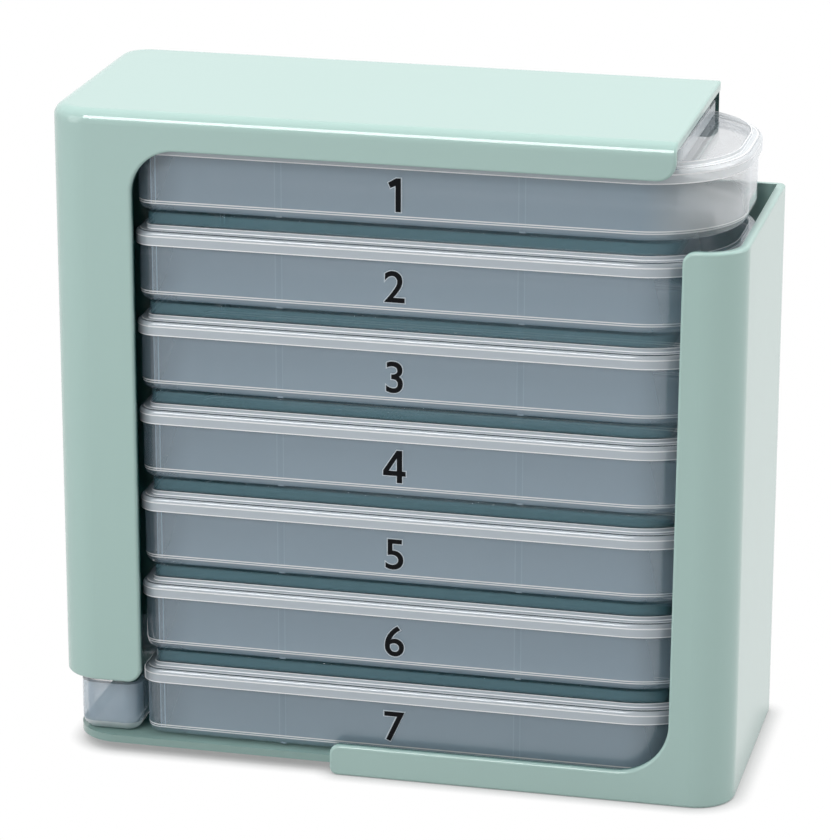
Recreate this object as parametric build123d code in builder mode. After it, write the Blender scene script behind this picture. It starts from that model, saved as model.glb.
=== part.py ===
from build123d import *

import os

# Weekly pill box: a one-piece case that holds a stack of flat day boxes, each a tray with
# three compartments and a snap-on lid, and a short clear stop on the floor beside the lowest box.
# X runs to the right along the front, Y goes away from the front, Z is up.
# The origin is on the surface the case stands on, under the middle of the case. Millimetres.

# Case
case_width = 168.0
case_depth = 67.6
wall = 2.0
front_corner_r = 9.8
back_left_corner_r = 8.0
back_right_corner_r = 1.8
roof_edge_r = 3.2
roof_corner_r = 4.0
edge_r = 0.7

# Floor plate that carries the stack
floor_top = 4.3
floor_thickness = 1.9
floor_left_inset = 2.4
floor_corner_r = 11.0

# Day boxes
day_count = 7
box_height = 22.3
stack_gap = 0.1
box_side_gap = 1.2
box_left_gap = 18.0
nose_gap = 0.4
nose_r = 25.0
box_corner_r = 5.0
smallest_corner_r = 0.6

# Tray
tray_wall = 1.3
tray_setback = 0.9
tray_bottom_r = 3.0
rim_gap = 0.15
rim_height = 2.1
divider_thickness = 1.5
divider_shares = (0.2486, 0.6525)
divider_gap = 0.3
divider_foot_r = 1.0

# Lid
lid_wall = 1.2
skirt_height = 3.5
shoulder_r = 1.2
ledge_width = 2.6
plateau_rise = 1.0
pad_rise = 3.3
pad_setback = 3.2
pad_end_gap = 14.0
pad_corner_r = 3.0
pad_edge_r = 0.6

# Front opening of the case
left_flange = 21.1
window_top_r = 11.0
window_bottom_r = 13.0
right_flange_top = 14.4
right_flange_bottom = 15.3
flange_corner_r = 3.0
apron_height = 9.0
apron_corner_r = 4.6
lip_rise = 3.5
lip_length = 83.7
lip_corner_r = 2.4
lip_foot_r = 2.0
left_flange_corner_r = 3.5

# Exit for the top box, over the right wall
exit_drop = 0.1
exit_width = 16.3
roof_gap = 0.9
back_slot_width = 27.0
back_slot_depth = 14.5
back_slot_r = 3.5

# Stop beside the lowest box
stop_inset = 3.8
stop_height = 12.8
stop_depth = 48.6
stop_play = 1.5
stop_wall = 1.3
stop_top_gap = 2.4
stop_back_gap = 1.1

# Sizes that follow from the ones above
pitch = box_height + stack_gap
case_height = floor_top + day_count * pitch + roof_gap + wall
half_width = case_width / 2
half_depth = case_depth / 2
cavity_half_depth = half_depth - wall
box_depth = 2 * (cavity_half_depth - box_side_gap)
box_right = half_width - wall - nose_gap
box_left = box_left_gap + wall - half_width
box_length = box_right - box_left
plateau_level = box_height - pad_rise
ledge_level = plateau_level - plateau_rise
tray_shoulder = ledge_level - skirt_height
tray_rim_top = tray_shoulder + rim_height
pad_right = box_right - pad_end_gap
window_left = left_flange - half_width
window_right_top = half_width - right_flange_top
window_right_bottom = half_width - right_flange_bottom
apron_bottom = case_height - apron_height
roof_right = half_width - exit_width
right_wall_top = floor_top + stack_gap + (day_count - 1) * pitch - exit_drop
back_slot_left = half_width - back_slot_width
back_slot_top = case_height - back_slot_depth
lip_top = floor_top + lip_rise
lip_left = window_right_bottom - lip_length
lip_foot_end = lip_left + 2 * lip_foot_r
stop_left = stop_inset - half_width
stop_right = box_left + tray_setback - stop_play
stop_front = tray_setback - box_depth / 2
stop_back = stop_front + stop_depth
left_wall_bottom = floor_top + stop_height + stop_top_gap
reach = 10.0
near = 0.01

front_wall_plane = Plane.XZ.offset(cavity_half_depth)
back_wall_plane = Plane.XZ.offset(-half_depth)


def case_plan(level, inset, left_r, back_left_r, back_right_r):
    """Plan of the case at a level, drawn a wall or nothing inside its outer faces."""
    half_x = half_width - inset
    half_y = half_depth - inset
    with BuildSketch(Plane.XY.offset(level)) as plan:
        with BuildLine():
            FilletPolyline(
                (-half_x, -half_y),
                (half_x, -half_y),
                (half_x, half_y),
                (-half_x, half_y),
                radius=(left_r, left_r, back_right_r, back_left_r),
                close=True,
            )
        make_face()
    return plan.sketch


def box_plan(level, inset):
    """Plan of a day box at a level: two small corners on the left, a wide round nose on the right."""
    with BuildSketch(Plane.XY.offset(level)) as plan:
        with Locations(((box_left + box_right) / 2, 0)):
            Rectangle(box_length - 2 * inset, box_depth - 2 * inset)
        fillet(plan.vertices().sort_by(Axis.X)[:2], radius=max(box_corner_r - inset, smallest_corner_r))
        fillet(plan.vertices().sort_by(Axis.X)[-2:], radius=nose_r - inset)
    return plan.sketch


def pad_plan(level, inset):
    """Plan of the raised pad on a lid: the box plan cut off square before the nose."""
    with BuildSketch(Plane.XY.offset(level)) as plan:
        add(box_plan(0, pad_setback + inset))
        with Locations((pad_right - inset - box_length, 0)):
            Rectangle(2 * box_length, box_depth, mode=Mode.INTERSECT)
        fillet(plan.vertices().sort_by(Axis.X)[-2:], radius=pad_corner_r - inset)
    return plan.sketch


# Case: an outer block with a rounded roof, hollowed from below, then cut open
with BuildPart() as case:
    extrude(case_plan(0, 0, front_corner_r, back_left_corner_r, back_right_corner_r), amount=case_height)
    fillet(case.faces().sort_by(Axis.Z)[-1].edges(), radius=roof_edge_r)
    extrude(
        case_plan(
            -reach,
            wall,
            front_corner_r - wall,
            back_left_corner_r - wall,
            0,
        ),
        amount=case_height - wall + reach,
        mode=Mode.SUBTRACT,
    )

    # Window, exit, open lower left corner and lip, as one cut through the front wall
    with BuildSketch(front_wall_plane):
        with BuildLine():
            FilletPolyline(
                (lip_foot_end, -reach),
                (lip_foot_end, 0),
                (lip_left, 0),
                (lip_left, lip_top),
                (window_right_bottom, lip_top),
                (window_right_top, right_wall_top),
                (half_width + reach, right_wall_top),
                (half_width + reach, case_height + reach),
                (roof_right, case_height + reach),
                (roof_right, apron_bottom),
                (window_left, apron_bottom),
                (window_left, left_wall_bottom),
                (-half_width - reach, left_wall_bottom),
                (-half_width - reach, -reach),
                radius=(
                    0,
                    0,
                    lip_foot_r,
                    lip_corner_r,
                    window_bottom_r,
                    flange_corner_r,
                    0,
                    0,
                    0,
                    apron_corner_r,
                    window_top_r,
                    left_flange_corner_r,
                    0,
                    0,
                ),
                close=True,
            )
        make_face()
    extrude(amount=wall + reach, mode=Mode.SUBTRACT)

    # Back wall: the exit is open here too, and runs a little way in under the roof
    with BuildSketch(back_wall_plane):
        with BuildLine():
            FilletPolyline(
                (back_slot_left, right_wall_top),
                (half_width + reach, right_wall_top),
                (half_width + reach, case_height + reach),
                (roof_right, case_height + reach),
                (roof_right, back_slot_top),
                (back_slot_left, back_slot_top),
                radius=(back_slot_r, 0, 0, 0, back_slot_r, back_slot_r),
                close=True,
            )
        make_face()
    extrude(amount=wall, mode=Mode.SUBTRACT)

    # Roof and right wall stop at the exit
    with BuildSketch(Plane.XY.offset(right_wall_top)):
        with Locations((roof_right, 0)):
            Rectangle(half_width, case_depth + reach, align=(Align.MIN, Align.CENTER))
    extrude(amount=case_height, mode=Mode.SUBTRACT)

    # The left wall stops short of the floor, so that the stop can be drawn out under it
    with BuildSketch(Plane.XY.offset(-reach)):
        with Locations((-half_width - reach, stop_back + stop_back_gap)):
            Rectangle(
                front_corner_r + reach,
                case_depth + reach,
                align=(Align.MIN, Align.MAX),
            )
    extrude(amount=left_wall_bottom + reach, mode=Mode.SUBTRACT)

    # Soft edges round everything that ends in the front face, but not along the two tall corners
    corner_seam = half_width - front_corner_r
    front_edges = case.edges().filter_by_position(Axis.Y, -half_depth - near, -half_depth + near)
    fillet(
        front_edges.filter_by(lambda edge: abs(abs(edge.center().X) - corner_seam) > near),
        radius=edge_r,
    )

    # The roof's back corner at the exit is rounded
    with BuildSketch(Plane.XY.offset(right_wall_top)):
        with BuildLine():
            FilletPolyline(
                (roof_right, half_depth - 2 * roof_corner_r),
                (half_width + reach, half_depth - 2 * roof_corner_r),
                (half_width + reach, half_depth + reach),
                (roof_right - 2 * roof_corner_r, half_depth + reach),
                (roof_right - 2 * roof_corner_r, half_depth),
                (roof_right, half_depth),
                radius=(0, 0, 0, 0, 0, roof_corner_r),
                close=True,
            )
        make_face()
    extrude(amount=case_height, mode=Mode.SUBTRACT)

    # Floor plate, joined to the lip, the right wall and the back wall
    with BuildSketch(Plane.XY.offset(floor_top - floor_thickness)):
        with BuildLine():
            FilletPolyline(
                (floor_left_inset - half_width, -cavity_half_depth),
                (half_width - wall / 2, -cavity_half_depth),
                (half_width - wall / 2, cavity_half_depth),
                (floor_left_inset - half_width, cavity_half_depth),
                radius=(floor_corner_r, front_corner_r - wall, 0, floor_corner_r),
                close=True,
            )
        make_face()
    extrude(amount=floor_thickness)

# Tray: a shelled body with a set-back rim for the lid, and two dividers
with BuildPart() as tray:
    extrude(box_plan(0, tray_setback), amount=tray_shoulder)
    fillet(tray.faces().sort_by(Axis.Z)[0].edges(), radius=tray_bottom_r)
    extrude(box_plan(tray_shoulder, lid_wall + rim_gap), amount=rim_height)
    extrude(box_plan(tray_wall, tray_setback + tray_wall), amount=tray_rim_top, mode=Mode.SUBTRACT)
    fillet(
        tray.edges().filter_by_position(Axis.Z, tray_wall - near, tray_wall + near),
        radius=tray_bottom_r - tray_wall,
    )
    divider_low_half = box_depth / 2 - tray_setback - tray_wall / 2
    divider_high_half = box_depth / 2 - pad_setback - lid_wall - divider_gap
    divider_low_top = tray_rim_top - divider_gap
    divider_high_top = box_height - lid_wall - divider_gap
    for share in divider_shares:
        with BuildSketch(Plane.YZ.offset(box_left + share * box_length)):
            with BuildLine():
                FilletPolyline(
                    (-divider_low_half, tray_wall / 2),
                    (divider_low_half, tray_wall / 2),
                    (divider_low_half, divider_low_top),
                    (divider_high_half, divider_low_top),
                    (divider_high_half, divider_high_top),
                    (-divider_high_half, divider_high_top),
                    (-divider_high_half, divider_low_top),
                    (-divider_low_half, divider_low_top),
                    radius=(
                        0,
                        0,
                        0,
                        divider_foot_r,
                        pad_corner_r,
                        pad_corner_r,
                        divider_foot_r,
                        0,
                    ),
                    close=True,
                )
            make_face()
        extrude(amount=divider_thickness / 2, both=True)

# Lid: skirt, ledge, plateau and pad, with the same steps hollowed out from below
with BuildPart() as lid:
    extrude(box_plan(tray_shoulder, 0), amount=skirt_height)
    fillet(lid.faces().sort_by(Axis.Z)[-1].edges(), radius=shoulder_r)
    extrude(box_plan(ledge_level, ledge_width), amount=plateau_rise)
    extrude(pad_plan(plateau_level, 0), amount=pad_rise)
    fillet(lid.faces().sort_by(Axis.Z)[-1].edges(), radius=pad_edge_r)
    extrude(box_plan(tray_shoulder, lid_wall), amount=skirt_height - lid_wall, mode=Mode.SUBTRACT)
    extrude(
        box_plan(tray_shoulder, ledge_width + lid_wall),
        amount=plateau_level - lid_wall - tray_shoulder,
        mode=Mode.SUBTRACT,
    )
    extrude(
        pad_plan(tray_shoulder, lid_wall),
        amount=box_height - lid_wall - tray_shoulder,
        mode=Mode.SUBTRACT,
    )

# Stop: a short open tray of the same section, on the floor left of the lowest box
with BuildPart() as end_stop:
    with BuildSketch(Plane.XY.offset(floor_top)) as stop_plan:
        with Locations((stop_left, stop_front)):
            Rectangle(stop_right - stop_left, stop_depth, align=(Align.MIN, Align.MIN))
        fillet(stop_plan.vertices(), radius=box_corner_r - tray_setback)
    extrude(amount=stop_height)
    fillet(end_stop.faces().sort_by(Axis.Z)[0].edges(), radius=tray_bottom_r)
    offset(amount=-stop_wall, openings=end_stop.faces().sort_by(Axis.Z)[-1])

os.makedirs("parts", exist_ok=True)

case.part.label = "case"
export_step(case.part, "parts/case.step")

end_stop.part.label = "end_stop"
export_step(end_stop.part, "parts/end_stop.step")

# The top box is day 1 and the lowest box is day 7
for day in range(1, day_count + 1):
    seat = floor_top + stack_gap + (day_count - day) * pitch

    with BuildPart() as day_tray:
        with Locations((0, 0, seat)):
            add(tray.part)
    day_tray.part.label = f"tray_{day}"
    export_step(day_tray.part, f"parts/tray_{day}.step")

    with BuildPart() as day_lid:
        with Locations((0, 0, seat)):
            add(lid.part)
    day_lid.part.label = f"lid_{day}"
    export_step(day_lid.part, f"parts/lid_{day}.step")
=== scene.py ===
import math

import bmesh
import bpy
from mathutils import Matrix, Vector


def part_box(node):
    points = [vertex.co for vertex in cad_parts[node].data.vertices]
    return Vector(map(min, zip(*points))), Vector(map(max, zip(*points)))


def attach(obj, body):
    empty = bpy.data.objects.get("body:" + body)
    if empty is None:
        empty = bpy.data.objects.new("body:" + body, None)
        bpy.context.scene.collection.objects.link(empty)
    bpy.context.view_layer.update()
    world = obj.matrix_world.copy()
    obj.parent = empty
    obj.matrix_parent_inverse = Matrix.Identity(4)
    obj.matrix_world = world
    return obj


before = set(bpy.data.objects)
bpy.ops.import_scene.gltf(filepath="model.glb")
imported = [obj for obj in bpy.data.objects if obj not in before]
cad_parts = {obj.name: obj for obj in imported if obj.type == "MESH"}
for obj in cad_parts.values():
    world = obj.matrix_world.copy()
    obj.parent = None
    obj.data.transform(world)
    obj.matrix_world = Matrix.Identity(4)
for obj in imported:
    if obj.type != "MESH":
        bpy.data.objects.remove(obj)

mm = 0.001
scene = bpy.context.scene
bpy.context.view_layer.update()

dayCount = sum(name.startswith("tray_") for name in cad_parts)

# the view: camera place in metres, angles in degrees, found from lines on the case
view = {
    "place": (0.2140, -0.9248, 0.3947),
    "azimuth": 13.104,
    "elevation": 18.239,
    "roll": 0.112,
    "lens": 176.03,
    "filmWidth": 36.0,
    "nearest": 0.05,
    "farthest": 20.0,
}


def setCamera():
    cameraData = bpy.data.cameras.new("viewCamera")
    cameraData.sensor_fit = "HORIZONTAL"
    cameraData.sensor_width = view["filmWidth"]
    cameraData.lens = view["lens"]
    cameraData.clip_start = view["nearest"]
    cameraData.clip_end = view["farthest"]
    camera = bpy.data.objects.new("viewCamera", cameraData)
    scene.collection.objects.link(camera)
    camera.matrix_world = (
        Matrix.Translation(view["place"])
        @ Matrix.Rotation(math.radians(view["azimuth"]), 4, "Z")
        @ Matrix.Rotation(math.radians(90 - view["elevation"]), 4, "X")
        @ Matrix.Rotation(math.radians(view["roll"]), 4, "Z")
    )
    scene.camera = camera
    print("camera set")


class Sock:
    # a node output that can be written in sums
    def __init__(self, finish, socket):
        self.finish = finish
        self.socket = socket

    def maths(self, operation, other, flipped=False):
        first, second = (other, self) if flipped else (self, other)
        return self.finish.node("ShaderNodeMath", {"operation": operation}, {0: first, 1: second})

    def __add__(self, other):
        return self.maths("ADD", other)

    def __radd__(self, other):
        return self.maths("ADD", other, True)

    def __sub__(self, other):
        return self.maths("SUBTRACT", other)

    def __rsub__(self, other):
        return self.maths("SUBTRACT", other, True)

    def __mul__(self, other):
        return self.maths("MULTIPLY", other)

    def __rmul__(self, other):
        return self.maths("MULTIPLY", other, True)

    def __pow__(self, other):
        return self.maths("POWER", other)

    def most(self, other):
        return self.maths("MAXIMUM", other)

    def least(self, other):
        return self.maths("MINIMUM", other)

    def away(self):
        return self.maths("ABSOLUTE", 0.0)

    def under(self, limit):
        return self.maths("LESS_THAN", limit)

    def over(self, limit):
        return self.maths("GREATER_THAN", limit)

    def wrapped(self, length):
        return self.maths("FLOORED_MODULO", length)


class Finish:
    # one material or world and the nodes in it
    def __init__(self, holder):
        self.holder = holder
        holder.use_nodes = True
        self.tree = holder.node_tree
        self.tree.nodes.clear()

    def node(self, kind, settings=None, values=None, out=0):
        made = self.tree.nodes.new(kind)
        for name, setting in (settings or {}).items():
            setattr(made, name, setting)
        for name, value in (values or {}).items():
            if isinstance(value, Sock):
                self.tree.links.new(value.socket, made.inputs[name])
            else:
                made.inputs[name].default_value = value
        return Sock(self, made.outputs[out]) if made.outputs else None

    def place(self):
        return self.node("ShaderNodeTexCoord", out="Object")

    def axes(self):
        split = self.node("ShaderNodeSeparateXYZ", None, {"Vector": self.place()})
        return [Sock(self, split.socket.node.outputs[axis]) for axis in "XYZ"]

    def noise(self, size, detail=1.0, roughness=0.5):
        # size is the width of one patch in metres
        return self.node(
            "ShaderNodeTexNoise",
            {"noise_dimensions": "3D"},
            {"Vector": self.place(), "Scale": 1 / size, "Detail": detail, "Roughness": roughness},
        )

    def mixColour(self, share, first, second):
        return self.node(
            "ShaderNodeMix",
            {"data_type": "RGBA", "blend_type": "MIX"},
            {0: share, 6: first, 7: second},
            out=2,
        )

    def ramp(self, value, start, end):
        # from 0 at start to 1 at end, and level beyond
        return self.node(
            "ShaderNodeMapRange",
            {"clamp": True, "interpolation_type": "SMOOTHSTEP"},
            {"Value": value, "From Min": start, "From Max": end, "To Min": 0.0, "To Max": 1.0},
        )

    def upTo(self, value, limit, soft=0.1):
        # one below the limit and nothing above it, with a soft step
        return self.ramp(value, limit + soft, limit - soft)

    def thread(self, value, start, full, wane, end):
        # one between full and wane, and nothing outside start and end
        return self.ramp(value, start, full) * self.ramp(value, end, wane)

    def bump(self, height, depth):
        return self.node("ShaderNodeBump", None, {"Height": height, "Distance": depth, "Strength": 1.0})

    def backdropRays(self):
        # one on the rays that show the white background
        path = self.node("ShaderNodeLightPath").socket.node
        seen, mirrored, through = (
            Sock(self, path.outputs[kind]) for kind in ("Is Camera Ray", "Is Glossy Ray", "Is Transmission Ray")
        )
        return seen.most(mirrored).most(through)

    def done(self, surface, kind="ShaderNodeOutputMaterial"):
        self.node(kind, None, {"Surface": surface})
        return self.holder


def linear(red, green, blue):
    # a colour given on the 0 to 255 scale, as Blender wants it
    shares = (value / 255 for value in (red, green, blue))
    return *(((share + 0.055) / 1.055) ** 2.4 if share > 0.04045 else share / 12.92 for share in shares), 1.0


casePlastic = {
    "colour": (175, 204, 198),
    "mottleColour": (171, 201, 194),
    "mottleSize": 90.0 * mm,
    # painted shade: the colour the case is painted where shade falls inside it
    "insideShadeColour": (50, 92, 89),
    "roughness": 0.12,
    "roughnessSwing": 0.04,
    "smearSize": 11.0 * mm,
    "smearDetail": 3.0,
    "smearRoughness": 0.6,
    "grainSize": 1.6 * mm,
    "grainDepth": 0.004 * mm,
    "refraction": 1.5,
    "wall": 2.0 * mm,
    "insideShadeStart": 0.2,  # shares of the wall
    "insideShadeFull": 0.95,
    "frontRadius": 9.8 * mm,
    "backRadius": 8.0 * mm,
    # painted light: the painted shade inside is lessened towards the right wall, where light comes in
    "rightLightShare": 0.5,
    "rightLightReach": 14.0 * mm,
    # the front of the floor plate keeps only part of the painted shade
    "plateTop": 4.5 * mm,
    "plateShadeShare": 0.4,
    "platePale": -27.0 * mm,
    "plateDark": -20.0 * mm,
}


def outlineInset(across, along, halfAcross, halfAlong, radius):
    # how far in from a rectangle with rounded corners a point is
    pastAcross = across.away() - halfAcross + radius
    pastAlong = along.away() - halfAlong + radius
    outer = (pastAcross.most(0.0) ** 2.0 + pastAlong.most(0.0) ** 2.0) ** 0.5
    return radius - outer - pastAcross.most(pastAlong).least(0.0)


def insideShare(finish):
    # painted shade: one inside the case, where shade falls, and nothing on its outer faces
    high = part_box("case")[1]
    sideways, inward, upward = finish.axes()
    wall, radius = casePlastic["wall"], casePlastic["backRadius"]
    radius = inward.under(0.0) * (casePlastic["frontRadius"] - radius) + radius
    inset = outlineInset(sideways, inward, high.x, high.y, radius)
    # painted light: less painted shade near the right wall
    toRight = finish.ramp(sideways, high.x - casePlastic["rightLightReach"], high.x)
    # painted shade on the front of the floor plate, at part strength
    nearFront = finish.ramp(inward, casePlastic["plateDark"], casePlastic["platePale"])
    onPlate = upward.under(casePlastic["plateTop"]) * nearFront
    return (
        finish.ramp(inset, wall * casePlastic["insideShadeStart"], wall * casePlastic["insideShadeFull"])
        * upward.under(high.z - wall * casePlastic["insideShadeFull"])
        * (1 - toRight * casePlastic["rightLightShare"])
        * (1 - onPlate * (1 - casePlastic["plateShadeShare"]))
    )


def makeCasePlastic():
    finish = Finish(bpy.data.materials.new("mintPlastic"))
    cloud = finish.noise(casePlastic["mottleSize"])
    smear = finish.noise(casePlastic["smearSize"], casePlastic["smearDetail"], casePlastic["smearRoughness"])
    peel = finish.noise(casePlastic["grainSize"])
    outside = finish.mixColour(cloud, linear(*casePlastic["mottleColour"]), linear(*casePlastic["colour"]))
    # painted shade: the base colour darkens to the painted shade colour inside the case
    shader = finish.node(
        "ShaderNodeBsdfPrincipled",
        None,
        {
            "Base Color": finish.mixColour(insideShare(finish), outside, linear(*casePlastic["insideShadeColour"])),
            "Roughness": (smear - 0.5) * casePlastic["roughnessSwing"] + casePlastic["roughness"],
            "IOR": casePlastic["refraction"],
            "Normal": finish.bump(peel, casePlastic["grainDepth"]),
        },
    )
    return finish.done(shader)


# in the next four, places are millimetres along a box, in from its outline and up from its underside
clearPlastic = {
    "colour": (170, 194, 211),
    "mottleColour": (175, 198, 215),
    "mottleSize": 30.0 * mm,
    "clearOpacity": 0.03,
    "roughness": 0.35,
    "roughnessSwing": 0.08,
    "grainSize": 0.7 * mm,
    "grainDepth": 0.006 * mm,
    "refraction": 1.5,
    "sheenColour": (0.95, 0.97, 1.0, 1),
    "sheenRoughness": 0.06,
    "sheenAhead": 0.045,
    "sheenGrazing": 0.9,
    "sheenPower": 5,
    "sheenInside": 0.06,
    "sheenInset": (2.8, 2.6),
    "noseRadius": 25.0,
    "cornerRadius": 5.0,
    "noseStart": 122.0,
    "noseEnd": 138.0,
    "litNoseColour": (238, 243, 245),
    # painted shade on the noses of the lower boxes
    "shadedNoseShare": 0.35,
    "shadedLineShare": 0.3,
    "highlightColour": (252, 253, 254),
    "lineWidth": 0.22,
    "lineCore": 0.4,  # the share of its width that is solid
    "plainLeft": (6.0, 5.0),
    "plainFront": (3.0, 5.0),
}

trayLook = {
    "edges": [(0.9, 2.95), (0.97, 2.4)],
    "edgeOpacity": 0.75,
    "wallInset": 2.1,
    "wallOpacity": 0.45,
    "riseLevel": 7.0,
    "wallRise": 0.006,
    "noseOpacity": 0.62,
    "dividers": (0.2486, 0.6525),  # shares of the length
    "dividerThread": (0.6, 0.75, 0.85, 1.0),
    "dividerLine": 0.07,
    "footTop": 2.3,
    "footOpacity": 0.37,
    "cornerStart": 5.0,
    "cornerOpacity": 0.3,
    "bandWidth": 1.1,
    "bandThread": (0.35, 0.5, 0.6, 0.75),
    "bandHighlight": 0.28,
    "rimPower": 4,
    "rimOpacity": 0.5,
    "shadeWidth": 9.0,
    "shadeOpacity": 0.75,
}

lidLook = {
    "edges": [(1.2, 18.0), (0.0, 16.75), (0.05, 14.6), (2.6, 18.05), (2.65, 19.0)],
    "edgeOpacity": 1.0,
    "skirtInset": 0.6,
    "skirtTop": 17.95,
    "skirtStep": 0.03,
    "skirtOpacity": 0.66,
    "skirtColour": (208, 218, 226),
    "noseOpacity": 0.8,
    "ledgeTop": 19.05,
    "ledgeInset": 2.75,
    "ledgeStep": 0.05,
    "ledgeOpacity": 0.66,
    "padTop": 21.9,
    "padOpacity": 0.42,
    "shadedPadColour": (100, 142, 154),
}

stopLook = {
    "wallOpacity": 0.42,
    "soleTop": 2.4,
    "soleOpacity": 0.7,
    "soleHighlightColour": (206, 217, 220),
    "deepStart": -25.0,
    "deepEnd": -14.0,
    "deepShare": 0.15,
}


def boxProfile(finish):
    # where a point stands on its box, in millimetres, and the size of the box
    low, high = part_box("lid_1")
    lowest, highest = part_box(f"tray_{dayCount}"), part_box("tray_1")
    base, topBase = lowest[0].z, highest[0].z
    length, depth = (high.x - low.x) / mm, (high.y - low.y) / mm
    sideways, inward, upward = finish.axes()
    inward = inward * (1 / mm)
    fromMiddle = sideways * (1 / mm) - (high.x + low.x) / 2 / mm
    corner = clearPlastic["cornerRadius"]
    radius = fromMiddle.over(0.0) * (clearPlastic["noseRadius"] - corner) + corner
    return {
        "length": length,
        "depth": depth,
        "along": fromMiddle + length / 2,
        "inward": inward,
        "inset": outlineInset(fromMiddle, inward, length / 2, depth / 2, radius),
        "level": (upward * (1 / mm) - base / mm).wrapped((topBase - base) / (dayCount - 1) / mm),
        "lower": upward.under(topBase),  # on the boxes under the top one
    }


def edgeLines(finish, spot, places):
    # painted highlights: bright threads where the clear wall turns a corner
    profile = finish.node("ShaderNodeCombineXYZ", None, {"X": spot["inset"], "Y": spot["level"]})
    width = clearPlastic["lineWidth"]
    highlights = None
    for place in places:
        gap = finish.node(
            "ShaderNodeVectorMath", {"operation": "DISTANCE"}, {0: profile, 1: (*place, 0.0)}, out="Value"
        )
        line = finish.ramp(gap, width, width * clearPlastic["lineCore"])
        highlights = line if highlights is None else highlights.most(line)
    return highlights


def trayOpacity(finish, spot, nose, facing):
    along, level = spot["along"], spot["level"]
    start, band = trayLook["cornerStart"], trayLook["bandWidth"]
    wall = finish.upTo(spot["inset"], trayLook["wallInset"])
    foot = finish.upTo(level, trayLook["footTop"])
    corner = finish.upTo(along, start)
    shade = finish.ramp(along, start + band + trayLook["shadeWidth"], start + band / 2)
    # painted highlight: a bright thread of haze where the rounded corner meets the flat front
    bandHighlights = finish.thread((along - (start + band / 2)).away(), *trayLook["bandThread"])
    amount = foot * (trayLook["footOpacity"] - trayLook["wallOpacity"]) + trayLook["wallOpacity"]
    amount = amount + (trayLook["riseLevel"] - level) * trayLook["wallRise"]
    for share in trayLook["dividers"]:
        hint = finish.thread((along - spot["length"] * share).away(), *trayLook["dividerThread"])
        amount = amount + hint * (1 - foot) * trayLook["dividerLine"]
    amount = amount * (1 - corner * (1 - trayLook["cornerOpacity"]))
    amount = amount * (1 - (shade - corner) * (1 - trayLook["shadeOpacity"]))
    amount = amount + bandHighlights * (1 - foot) * trayLook["bandHighlight"]
    amount = amount + facing ** trayLook["rimPower"] * corner * trayLook["rimOpacity"]
    amount = amount * (1 - nose * (1 - trayLook["noseOpacity"]))
    return wall * amount + clearPlastic["clearOpacity"]


def lidOpacity(finish, spot, nose, pad):
    inset, level = spot["inset"], spot["level"]
    skirt = finish.upTo(level, lidLook["skirtTop"], lidLook["skirtStep"])
    outer = finish.upTo(inset, lidLook["skirtInset"])
    near = finish.upTo(inset, lidLook["ledgeInset"], lidLook["ledgeStep"])
    ledge = (1 - skirt) * (1 - pad) * near * lidLook["ledgeOpacity"]
    riser = pad * finish.upTo(level, lidLook["padTop"])
    hazy = (skirt * outer * lidLook["skirtOpacity"] + ledge) * (1 - nose * (1 - lidLook["noseOpacity"]))
    return hazy + riser * lidLook["padOpacity"] + clearPlastic["clearOpacity"]


def stopOpacity(finish, spot, sole):
    deep = finish.ramp(spot["inward"], stopLook["deepStart"], stopLook["deepEnd"])
    amount = sole * (stopLook["soleOpacity"] - stopLook["wallOpacity"]) + stopLook["wallOpacity"]
    return amount * (1 - deep * (1 - stopLook["deepShare"]))


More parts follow.
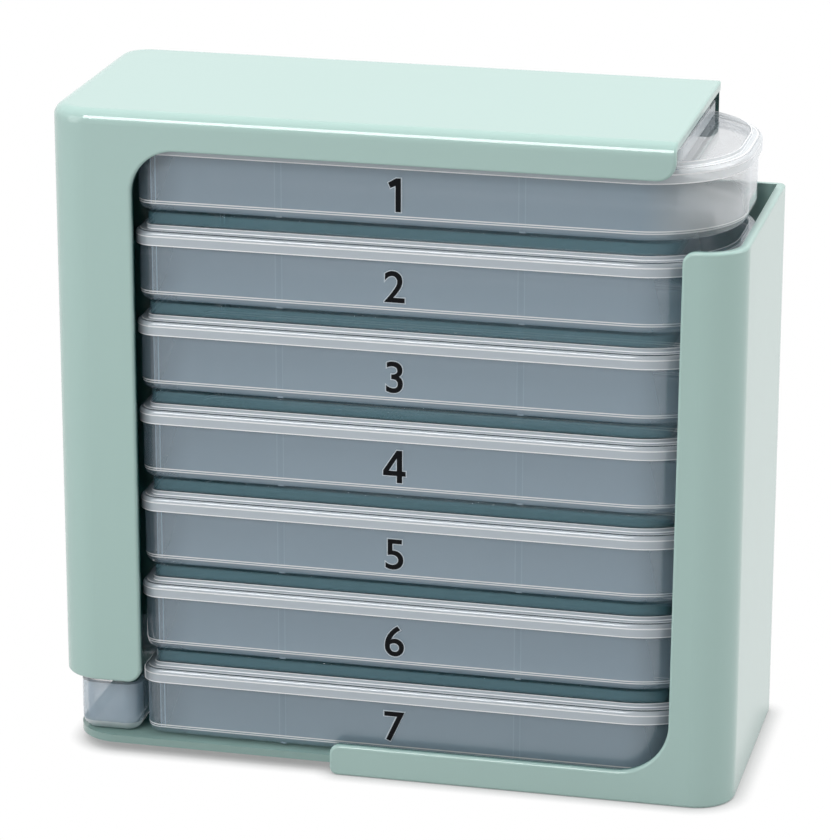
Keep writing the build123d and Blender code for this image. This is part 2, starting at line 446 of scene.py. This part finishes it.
def makeClearPlastic(name, look):
    finish = Finish(bpy.data.materials.new(name))
    spot = boxProfile(finish)
    cloud = finish.noise(clearPlastic["mottleSize"])
    frost = finish.noise(clearPlastic["grainSize"])
    facing = finish.node("ShaderNodeLayerWeight", None, {"Blend": 0.5}, out="Facing")
    noseEnd = finish.ramp(spot["along"], clearPlastic["noseStart"], clearPlastic["noseEnd"])
    # painted shade: the noses of the lower boxes sit in shade, so their haze and highlights are thinned
    shadedNose = noseEnd * spot["lower"]
    nose = noseEnd * (1 - spot["lower"])  # only the top box's nose stands in the light
    if look is lidLook:
        pad = finish.ramp(spot["level"], look["ledgeTop"], look["ledgeTop"] + look["ledgeStep"])
        opacity = lidOpacity(finish, spot, nose, pad)
        # painted shade: the pads between the boxes are painted dark, as they sit in shade
        colour = finish.mixColour(pad, linear(*look["skirtColour"]), linear(*look["shadedPadColour"]))
    else:
        colour = finish.mixColour(cloud, linear(*clearPlastic["mottleColour"]), linear(*clearPlastic["colour"]))
        if look is trayLook:
            opacity = trayOpacity(finish, spot, nose, facing)
        else:
            sole = finish.upTo(spot["level"], look["soleTop"])
            opacity = stopOpacity(finish, spot, sole)
            # painted highlight: the sole band is painted pale where the rounded bottom edge catches light
            colour = finish.mixColour(sole, colour, linear(*look["soleHighlightColour"]))
    # painted light: the top box's nose, out of the case in the light, is painted pale
    colour = finish.mixColour(nose, colour, linear(*clearPlastic["litNoseColour"]))
    opacity = opacity * (1 - shadedNose * (1 - clearPlastic["shadedNoseShare"]))
    # painted highlights along the corners of the clear walls
    if "edges" in look:
        atFront, besideFront = (spot["depth"] / 2 - inset for inset in clearPlastic["plainFront"])
        side = finish.ramp(spot["along"], *clearPlastic["plainLeft"])
        side = side * finish.ramp(spot["inward"].away(), atFront, besideFront)
        dim = shadedNose * (1 - clearPlastic["shadedLineShare"])
        highlights = edgeLines(finish, spot, look["edges"]) * (1 - side) * (1 - dim)
        colour = finish.mixColour(highlights, colour, linear(*clearPlastic["highlightColour"]))
        opacity = opacity + highlights * (look["edgeOpacity"] - opacity)
    grain = finish.bump(frost, clearPlastic["grainDepth"])
    haze = finish.node(
        "ShaderNodeBsdfPrincipled",
        None,
        {
            "Base Color": colour,
            "Roughness": (cloud - 0.5) * clearPlastic["roughnessSwing"] + clearPlastic["roughness"],
            "IOR": clearPlastic["refraction"],
            "Alpha": opacity,
            "Normal": grain,
        },
    )
    sheen = finish.node(
        "ShaderNodeBsdfGlossy",
        None,
        {
            "Color": clearPlastic["sheenColour"],
            "Roughness": clearPlastic["sheenRoughness"],
            "Normal": grain,
        },
    )
    outside = finish.ramp(spot["inset"], *clearPlastic["sheenInset"]).most(nose)
    outside = outside * (1 - clearPlastic["sheenInside"]) + clearPlastic["sheenInside"]
    grazing = facing ** clearPlastic["sheenPower"] * clearPlastic["sheenGrazing"]
    gleam = (grazing + clearPlastic["sheenAhead"]) * outside
    return finish.done(finish.node("ShaderNodeMixShader", None, {0: gleam, 1: haze, 2: sheen}))


def dressNodes():
    plastics = {
        "case": makeCasePlastic(),
        "tray": makeClearPlastic("clearTray", trayLook),
        "lid": makeClearPlastic("clearLid", lidLook),
        "end": makeClearPlastic("clearStop", stopLook),
    }
    for name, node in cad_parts.items():
        node.data.materials.clear()
        node.data.materials.append(plastics[name.split("_")[0]])
    print("plastics on", len(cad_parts), "nodes")


# the outlines are in shares of the height
numeral = {
    "height": 8.0 * mm,
    "centreX": 0.5 * mm,
    "centreUp": 0.56,  # the share of the way from the foot of the tray to its lid
    "thickness": 0.06 * mm,
    "standOff": 0.03 * mm,
    "bolder": 0.08 * mm,
    "typeShare": 0.729,  # the share of the type size that a figure is high
    "curveSteps": 6,
    "rimWidth": 0.25 * mm,
    "oneOutline": [
        (0.16, 0.0), (0.16, 1.0), (0.03, 1.0), (-0.2, 0.86), (-0.14, 0.72), (0.02, 0.8), (0.02, 0.0),
    ],
    "fourOutline": [
        (0.28, 0.0), (0.42, 0.0), (0.42, 0.22), (0.53, 0.22), (0.53, 0.35), (0.42, 0.35),
        (0.42, 1.0), (0.27, 1.0), (-0.14, 0.36), (-0.14, 0.22), (0.28, 0.22),
    ],
    "fourHole": [(0.28, 0.35), (0.0, 0.35), (0.28, 0.8)],
    "ink": (12, 13, 16),
    "inkRoughness": 0.45,
    "rimColour": (196, 206, 214),
    "rimRoughness": 0.4,
    "roughnessSwing": 0.12,
    "specular": 0.08,
    "fleckSize": 0.6 * mm,
    "fleckDetail": 2.0,
    "fleckDepth": 0.004 * mm,
}


def makeInk(name, colour, roughness):
    finish = Finish(bpy.data.materials.new(name))
    fleck = finish.noise(numeral["fleckSize"], numeral["fleckDetail"])
    shader = finish.node(
        "ShaderNodeBsdfPrincipled",
        None,
        {
            "Base Color": linear(*colour),
            "Roughness": (fleck - 0.5) * numeral["roughnessSwing"] + roughness,
            "Specular IOR Level": numeral["specular"],
            "Normal": finish.bump(fleck, numeral["fleckDepth"]),
        },
    )
    return finish.done(shader)


def figureCurve(name, text):
    # one and four are drawn here: the built-in one is nearly a plain bar, and the hole of the four is too small
    drawn = {"1": [numeral["oneOutline"]], "4": [numeral["fourOutline"], numeral["fourHole"]]}
    height = numeral["height"]
    if text in drawn:
        curve = bpy.data.curves.new(name, "CURVE")
        curve.dimensions = "2D"
        curve.fill_mode = "BOTH"
        for corners in drawn[text]:
            outline = curve.splines.new("POLY")
            outline.points.add(len(corners) - 1)
            for point, (across, up) in zip(outline.points, corners):
                point.co = (across * height, up * height, 0.0, 1.0)
            outline.use_cyclic_u = True
    else:
        curve = bpy.data.curves.new(name, "FONT")
        curve.body = text
        curve.resolution_u = numeral["curveSteps"]
        curve.size = height / numeral["typeShare"]
    return curve


def printedShape(name, text, widen):
    # a flat printed figure standing in the XZ plane, its middle at the origin
    curve = figureCurve(name, text)
    flat = bpy.data.objects.new(name, curve)
    scene.collection.objects.link(flat)
    curve.offset = widen + numeral["bolder"]
    curve.extrude = numeral["thickness"] / 2
    bpy.context.view_layer.update()
    mesh = bpy.data.meshes.new_from_object(flat.evaluated_get(bpy.context.evaluated_depsgraph_get()))
    bpy.data.objects.remove(flat)
    low = [min(v.co[i] for v in mesh.vertices) for i in range(3)]
    high = [max(v.co[i] for v in mesh.vertices) for i in range(3)]
    middle = Vector((low[i] + high[i]) / 2 for i in range(3))
    mesh.transform(Matrix.Rotation(math.radians(90), 4, "X") @ Matrix.Translation(-middle))
    mesh.name = name
    return mesh


def addNumerals():
    ink = makeInk("printBlack", numeral["ink"], numeral["inkRoughness"])
    pale = makeInk("printPale", numeral["rimColour"], numeral["rimRoughness"])
    for day in range(1, dayCount + 1):
        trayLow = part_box(f"tray_{day}")[0]
        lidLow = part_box(f"lid_{day}")[0]
        middleZ = trayLow.z + (lidLow.z - trayLow.z) * numeral["centreUp"]
        front = trayLow.y - numeral["standOff"]
        for kind, widen, lift, material in (
            ("numeralRim", numeral["rimWidth"], 0.0, pale),
            ("numeral", 0.0, numeral["thickness"], ink),
        ):
            name = f"{kind}{day}"
            mesh = printedShape(name, str(day), widen)
            mesh.materials.append(material)
            piece = bpy.data.objects.new(name, mesh)
            scene.collection.objects.link(piece)
            piece.location = (numeral["centreX"], front - lift, middleZ)
            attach(piece, f"box_{day}")
    print("numerals printed on", dayCount, "trays")


# lamp radiance is in watts per square metre and steradian
studio = {
    "floorHalf": 3.0,
    "floorSquares": 8,
    "floorAlbedo": 0.5,
    "contactReach": 4.5 * mm,
    "contactRays": 8,
    "contactDepth": 2.0,
    "contactShade": 0.78,
    "white": (1, 1, 1, 1),
    "worldLight": 0.3,
    "clearDepth": 32,  # the clear walls stand many deep behind each other
    "lamps": [
        {
            "name": "edgeSoftbox",
            "place": (-0.28, -0.95, 0.94),
            "size": (0.5, 0.4),
            "radiance": 7.0,
            "gleams": False,
        },
        {
            "name": "edgeGleam",
            "place": (-0.27, -0.95, 0.98),
            "size": (0.56, 0.5),
            "radiance": 11.0,
            "lights": False,
        },
        {
            "name": "topSoftbox",
            "place": (0.05, 0.15, 1.3),
            "size": (1.0, 1.0),
            "radiance": 3.9,
            "gleams": False,
        },
        {
            "name": "leftSoftbox",
            "place": (-0.7, -0.6, 0.35),
            "size": (0.5, 0.6),
            "radiance": 2.3,
        },
        {
            "name": "rightSoftbox",
            "place": (1.0, 0.15, 0.45),
            "size": (0.6, 0.6),
            "radiance": 2.8,
        },
    ],
    "aim": (0.0, 0.0, 0.09),
}


def makeFloor():
    plate = bmesh.new()
    squares = studio["floorSquares"]
    bmesh.ops.create_grid(plate, x_segments=squares, y_segments=squares, size=studio["floorHalf"])
    mesh = bpy.data.meshes.new("studioFloor")
    plate.to_mesh(mesh)
    plate.free()
    floor = bpy.data.objects.new("studioFloor", mesh)
    scene.collection.objects.link(floor)

    finish = Finish(bpy.data.materials.new("studioFloor"))
    # painted shadow: near the object the white floor is darkened by an occlusion test
    nearness = finish.node(
        "ShaderNodeAmbientOcclusion",
        {"samples": studio["contactRays"]},
        {"Distance": studio["contactReach"]},
        out="AO",
    )
    contactShadow = 1 - nearness ** studio["contactDepth"]
    shown = finish.backdropRays() * (1 - contactShadow * studio["contactShade"])
    diffuse = finish.node("ShaderNodeBsdfDiffuse", None, {"Color": (studio["floorAlbedo"],) * 3 + (1,)})
    white = finish.node("ShaderNodeEmission", None, {"Color": studio["white"], "Strength": 1.0})
    surface = finish.node("ShaderNodeMixShader", None, {0: shown, 1: diffuse, 2: white})
    floor.data.materials.append(finish.done(surface))
    print("floor laid")


def makeWorld():
    finish = Finish(bpy.data.worlds.new("studioWorld"))
    light, white = (
        finish.node("ShaderNodeBackground", None, {"Color": studio["white"], "Strength": strength})
        for strength in (studio["worldLight"], 1.0)
    )
    sky = finish.node("ShaderNodeMixShader", None, {0: finish.backdropRays(), 1: light, 2: white})
    scene.world = finish.done(sky, "ShaderNodeOutputWorld")


def makeLamps():
    for lamp in studio["lamps"]:
        light = bpy.data.lights.new(lamp["name"], "AREA")
        light.shape = "RECTANGLE"
        light.size, light.size_y = lamp["size"]
        light.energy = lamp["radiance"] * math.pi * light.size * light.size_y
        held = bpy.data.objects.new(lamp["name"], light)
        scene.collection.objects.link(held)
        held.location = lamp["place"]
        held.rotation_mode = "QUATERNION"
        held.rotation_quaternion = (Vector(studio["aim"]) - held.location).to_track_quat("-Z", "Y")
        held.visible_glossy = lamp.get("gleams", True)
        held.visible_diffuse = lamp.get("lights", True)
    print("studio lit with", len(studio["lamps"]), "lamps")


setCamera()
dressNodes()
addNumerals()
makeFloor()
makeWorld()
makeLamps()
scene.view_settings.view_transform = "Standard"
scene.cycles.transparent_max_bounces = studio["clearDepth"]
